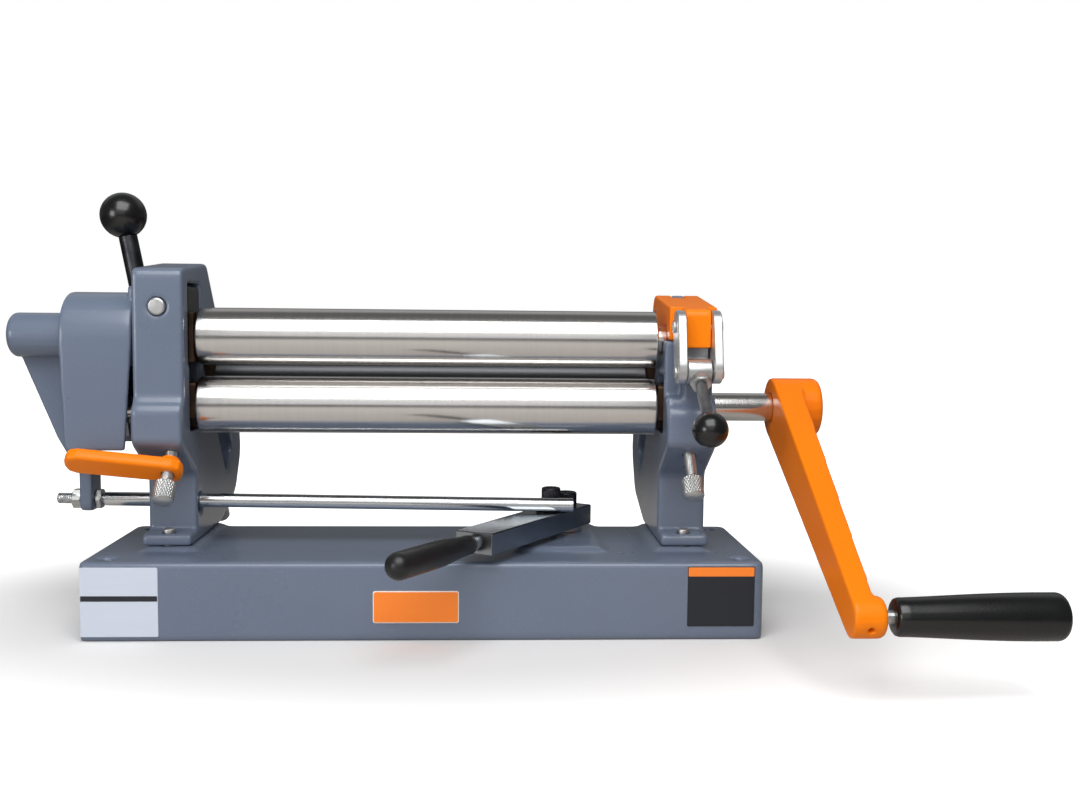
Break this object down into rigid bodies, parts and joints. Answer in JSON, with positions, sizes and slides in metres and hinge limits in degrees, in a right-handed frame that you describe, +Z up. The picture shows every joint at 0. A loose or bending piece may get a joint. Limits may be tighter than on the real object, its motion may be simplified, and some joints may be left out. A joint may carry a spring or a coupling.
{
  "type": "slip roll",
  "caption": "Bench slip roll: ground forming rolls between cast frames on a ribbed base, with a geared tail casting that rocks by a hand lever, a hinged cap with a cam latch, and a crank.",
  "frame": {"origin": "on the bench plane, under the middle of the base's length where the underside ribs cross", "axes": "+X along the rolls towards the crank, +Y from the front to the rear of the base, +Z up from the bench"},
  "size_m": [0.656, 0.3683, 0.302],
  "materials": {
    "frame_grey": "slate grey gloss enamel over castings",
    "safety_orange": "bright orange gloss enamel",
    "roll_ground": "ground steel, near mirror",
    "zinc": "bright zinc plate",
    "bronze": "sawn bronze, brown",
    "blackened": "blackened steel",
    "black_plastic": "gloss black",
    "steel": "plain turned steel"
  },
  "bodies": {
    "machine_base": {"base_casting": "frame_grey", "left_frame": "frame_grey", "right_frame": "frame_grey", "left_front_foot_bolt": "zinc", "right_front_foot_bolt": "zinc", "left_rear_foot_bolt": "zinc", "right_rear_foot_bolt": "zinc", "tilt_pin": "zinc", "cap_hinge_pin": "zinc", "lever_pivot_screw": "blackened", "lever_spacer": "zinc"},
    "tail_rocker": {"tail_casting": "frame_grey", "tongue_bush": "bronze", "boss_bush": "bronze", "tail_handle_rod": "blackened", "tail_handle_ball": "black_plastic"},
    "upper_roll_set": {"upper_roll": "roll_ground", "upper_gear": "steel"},
    "lower_carriage": {"left_lower_block": "bronze", "right_lower_block": "bronze"},
    "lower_roll_set": {"lower_roll": "roll_ground", "lower_gear": "steel", "crank_arm": "safety_orange", "grip_spindle": "zinc"},
    "turning_grip": {"crank_grip": "black_plastic"},
    "rear_carriage": {"left_rear_block": "bronze", "right_rear_block": "bronze", "left_rear_screw": "zinc", "right_rear_screw": "zinc"},
    "rear_roll_set": {"rear_roll": "roll_ground"},
    "left_screw_set": {"left_thumb_screw": "zinc"},
    "right_screw_set": {"right_thumb_screw": "zinc"},
    "lock_lever_set": {"lock_lever": "safety_orange"},
    "pull_rod_set": {"pull_rod": "roll_ground", "rod_nut": "zinc", "rod_lock_nut": "zinc", "rod_link_plate": "blackened"},
    "hand_lever": {"lever_bar": "roll_ground", "lever_grip": "black_plastic", "link_screw": "blackened"},
    "cap_set": {"roll_cap": "safety_orange"},
    "latch_links": {"latch_link_inner": "roll_ground", "latch_link_outer": "roll_ground", "latch_upper_pin": "zinc", "latch_lower_pin": "zinc"},
    "latch_lever": {"cam_barrel": "zinc", "latch_rod": "steel", "latch_nut": "zinc", "latch_ball": "black_plastic"}
  },
  "joints": [
    {"name": "tail_tilt", "type": "hinge", "parent": "machine_base", "child": "tail_rocker", "pos_m": [-0.181, 0, 0.222], "axis": [0, -1, 0], "range_deg": [0, 3]},
    {"name": "upper_roll_turn", "type": "hinge", "parent": "tail_rocker", "child": "upper_roll_set", "pos_m": [0, -0.0066, 0.2015], "axis": [1, 0, 0], "continuous": true},
    {"name": "front_gap", "type": "slide", "parent": "machine_base", "child": "lower_carriage", "axis": [0, 0, 1], "range_m": [0, 0.006]},
    {"name": "crank_turn", "type": "hinge", "parent": "lower_carriage", "child": "lower_roll_set", "pos_m": [0, -0.0066, 0.154], "axis": [1, 0, 0], "continuous": true},
    {"name": "grip_turn", "type": "hinge", "parent": "lower_roll_set", "child": "turning_grip", "pos_m": [0, -0.20245, 0.05161], "axis": [1, 0, 0], "continuous": true},
    {"name": "rear_bend", "type": "slide", "parent": "machine_base", "child": "rear_carriage", "axis": [0, -0.6347, 0.7727], "range_m": [0, 0.012]},
    {"name": "rear_roll_turn", "type": "hinge", "parent": "rear_carriage", "child": "rear_roll_set", "pos_m": [0, 0.05, 0.166], "axis": [1, 0, 0], "continuous": true},
    {"name": "left_screw_feed", "type": "slide", "parent": "machine_base", "child": "left_screw_set", "axis": [0, 0.6691, 0.7431], "range_m": [0, 0.0045]},
    {"name": "right_screw_feed", "type": "slide", "parent": "machine_base", "child": "right_screw_set", "axis": [0, 0.6691, 0.7431], "range_m": [0, 0.0045]},
    {"name": "lock_swing", "type": "hinge", "parent": "machine_base", "child": "lock_lever_set", "pos_m": [-0.1735, -0.0066, 0.154], "axis": [0, 0.6691, 0.7431], "range_deg": [0, 60]},
    {"name": "pull_rod_swing", "type": "hinge", "parent": "tail_rocker", "child": "pull_rod_set", "pos_m": [-0.2415, 0.0045, 0.085], "axis": [0, -1, 0], "range_deg": [-2.5, 0]},
    {"name": "hand_lever_swing", "type": "hinge", "parent": "machine_base", "child": "hand_lever", "pos_m": [0.101, 0.04, 0], "axis": [0, 0, 1], "range_deg": [0, 19.2]},
    {"name": "cap_swing", "type": "hinge", "parent": "machine_base", "child": "cap_set", "pos_m": [0.183, 0.045, 0.221], "axis": [-1, 0, 0], "range_deg": [0, 90]},
    {"name": "latch_link_swing", "type": "hinge", "parent": "cap_set", "child": "latch_links", "pos_m": [0.184, -0.041, 0.2113], "axis": [-1, 0, 0], "range_deg": [0, 90]},
    {"name": "latch_cam_turn", "type": "hinge", "parent": "latch_links", "child": "latch_lever", "pos_m": [0.184, -0.04904, 0.18056], "axis": [-1, 0, 0], "range_deg": [0, 85]}
  ],
  "couplings": [
    {"joint": "upper_roll_turn", "follows": "crank_turn", "ratio": -1},
    {"joint": "left_screw_feed", "follows": "front_gap", "ratio": 0.7431},
    {"joint": "right_screw_feed", "follows": "front_gap", "ratio": 0.7431},
    {"joint": "pull_rod_swing", "follows": "tail_tilt", "ratio": -0.8276},
    {"joint": "hand_lever_swing", "follows": "tail_tilt", "ratio": 6.317},
    {"joint": "cap_swing", "follows": "tail_tilt", "ratio": 30},
    {"joint": "latch_link_swing", "follows": "tail_tilt", "ratio": 30}
  ]
}
